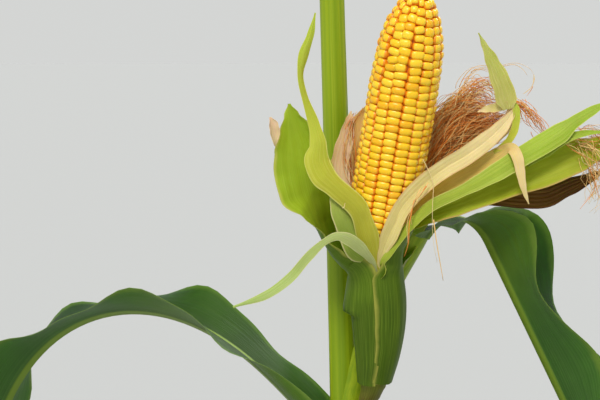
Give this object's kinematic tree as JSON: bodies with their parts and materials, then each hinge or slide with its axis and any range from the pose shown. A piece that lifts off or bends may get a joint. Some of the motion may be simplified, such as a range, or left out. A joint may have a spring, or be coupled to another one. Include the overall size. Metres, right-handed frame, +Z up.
{
  "type": "maize plant",
  "caption": "Tall rooted crop plant with arching strap leaves, a tassel and a ripe ear whose husk is peeled back from yellow kernels.",
  "frame": {"origin": "middle of the stalk's flat cut at ground level", "axes": "+Z up along the stalk; -Y is the side from which the open ear is seen; the ear leans towards +X and the stalk's top towards -X"},
  "size_m": [0.8271, 0.6792, 2.4153],
  "materials": {
    "stalk_green": "smooth yellow-green rind with fine ribs along it",
    "leaf_green": "matte blue-green blade with a pale midrib and parallel veins",
    "husk_green": "satin yellow-green husk leaf with parallel veins",
    "husk_pale": "papery straw-coloured husk leaf with parallel veins",
    "kernel_yellow": "glossy plump yellow kernels",
    "silk_brown": "dry red-brown silk strands",
    "tassel_straw": "dry straw-coloured flower spikes"
  },
  "bodies": {
    "root": {"ear_kernels": "kernel_yellow", "ear_leaf_sheath": "stalk_green", "ear_shank": "husk_green", "ear_tip_tuft": "silk_brown", "husk_back": "husk_pale", "husk_back_outer": "husk_green", "husk_left_lance": "husk_green", "husk_left_outer": "husk_green", "husk_left_ribbon": "husk_pale", "husk_right_dried": "silk_brown", "husk_right_folded": "husk_pale", "husk_right_inner": "husk_pale", "husk_right_lower": "husk_green", "husk_right_strap": "husk_green", "leaf_03_fall": "leaf_green", "leaf_03_rise": "leaf_green", "leaf_04_fall": "leaf_green", "leaf_04_rise": "leaf_green", "leaf_05_fall": "leaf_green", "leaf_05_rise": "leaf_green", "leaf_06_fall": "leaf_green", "leaf_06_rise": "leaf_green", "leaf_07_fall": "leaf_green", "leaf_07_rise": "leaf_green", "leaf_08_fall": "leaf_green", "leaf_08_rise": "leaf_green", "leaf_09_fall": "leaf_green", "leaf_09_rise": "leaf_green", "leaf_10_fall": "leaf_green", "leaf_10_rise": "leaf_green", "leaf_11_fall": "leaf_green", "leaf_11_rise": "leaf_green", "leaf_12_fall": "leaf_green", "leaf_12_rise": "leaf_green", "leaf_13_fall": "leaf_green", "leaf_13_rise": "leaf_green", "silk_husk_end": "silk_brown", "silk_left": "silk_brown", "silk_right": "silk_brown", "stalk": "stalk_green", "tassel_branch_01": "tassel_straw", "tassel_branch_02": "tassel_straw", "tassel_branch_03": "tassel_straw", "tassel_branch_04": "tassel_straw", "tassel_branch_05": "tassel_straw", "tassel_branch_06": "tassel_straw", "tassel_branch_07": "tassel_straw", "tassel_branch_08": "tassel_straw", "tassel_branch_09": "tassel_straw", "tassel_branch_10": "tassel_straw", "tassel_branch_11": "tassel_straw", "tassel_spike": "tassel_straw"}
  },
  "joints": []
}
